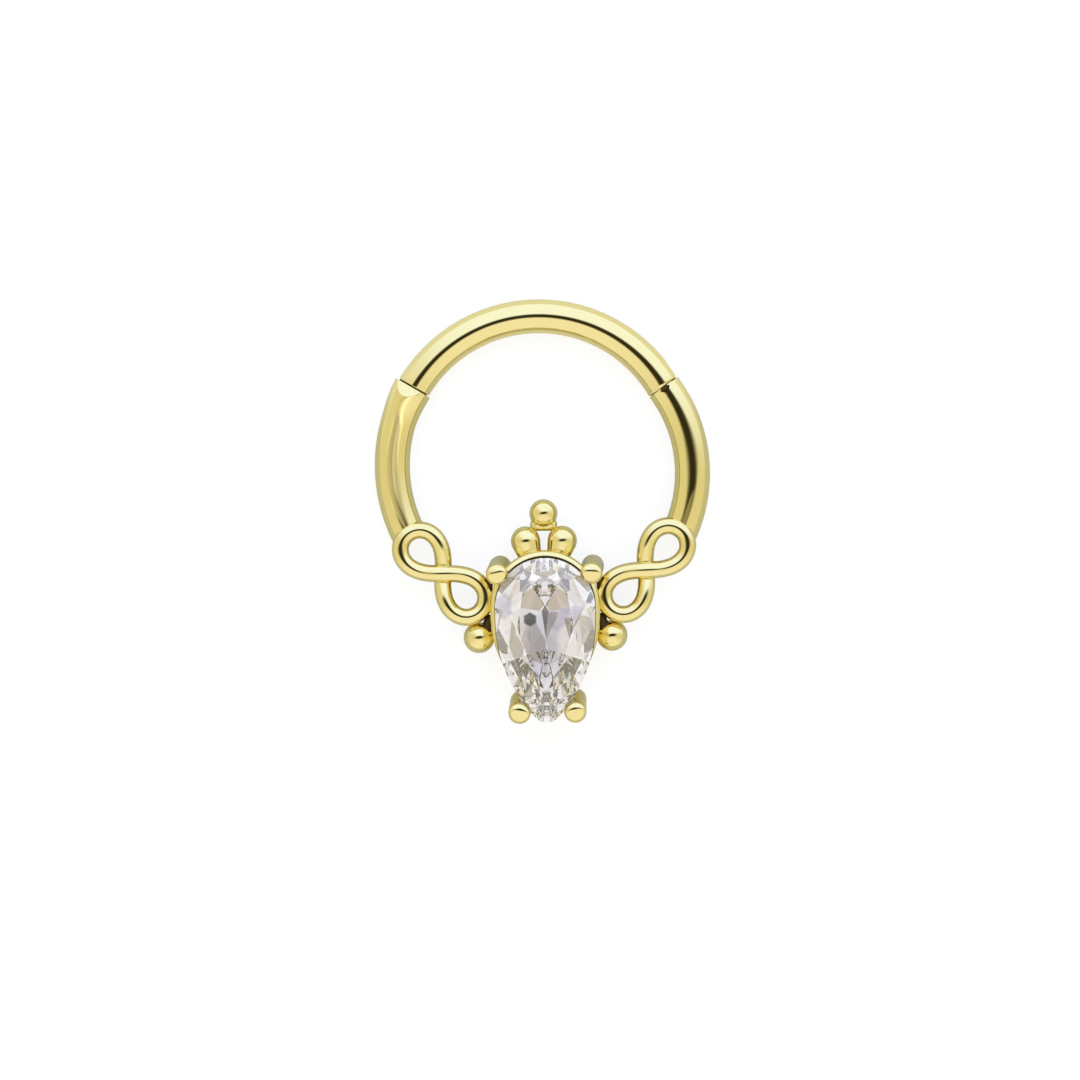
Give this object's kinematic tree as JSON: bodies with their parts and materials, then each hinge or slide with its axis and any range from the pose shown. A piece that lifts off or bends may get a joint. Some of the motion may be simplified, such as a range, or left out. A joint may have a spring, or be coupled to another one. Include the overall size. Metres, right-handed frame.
{
  "type": "clicker ring",
  "caption": "Hinged gold-coloured clicker ring for a piercing, with a pear-cut clear stone in a claw collet, wire scrolls and grain beads.",
  "frame": {"origin": "centre of the outline, at the height of the back that the ring lies on", "axes": "+Z out of the front, towards whoever looks at the stone; +Y from the stone's tip to the top of the ring; +X to the hinge's side"},
  "size_m": [0.0126, 0.016, 0.0024],
  "materials": {
    "plated_metal": "polished pale gold plating on surgical steel",
    "pin_steel": "drawn pin, plated with the rest",
    "clear_stone": "polished, faceted, colourless"
  },
  "bodies": {
    "ring": {"ring_frame": "plated_metal", "pear_stone": "clear_stone"},
    "segment": {"hinged_segment": "plated_metal", "hinge_pin": "pin_steel"}
  },
  "joints": [
    {"name": "segment_hinge", "type": "hinge", "parent": "ring", "child": "segment", "pos_m": [0.00464, 0.0051, 0.00066], "axis": [0, 0, -1], "range_deg": [0, 90]}
  ]
}
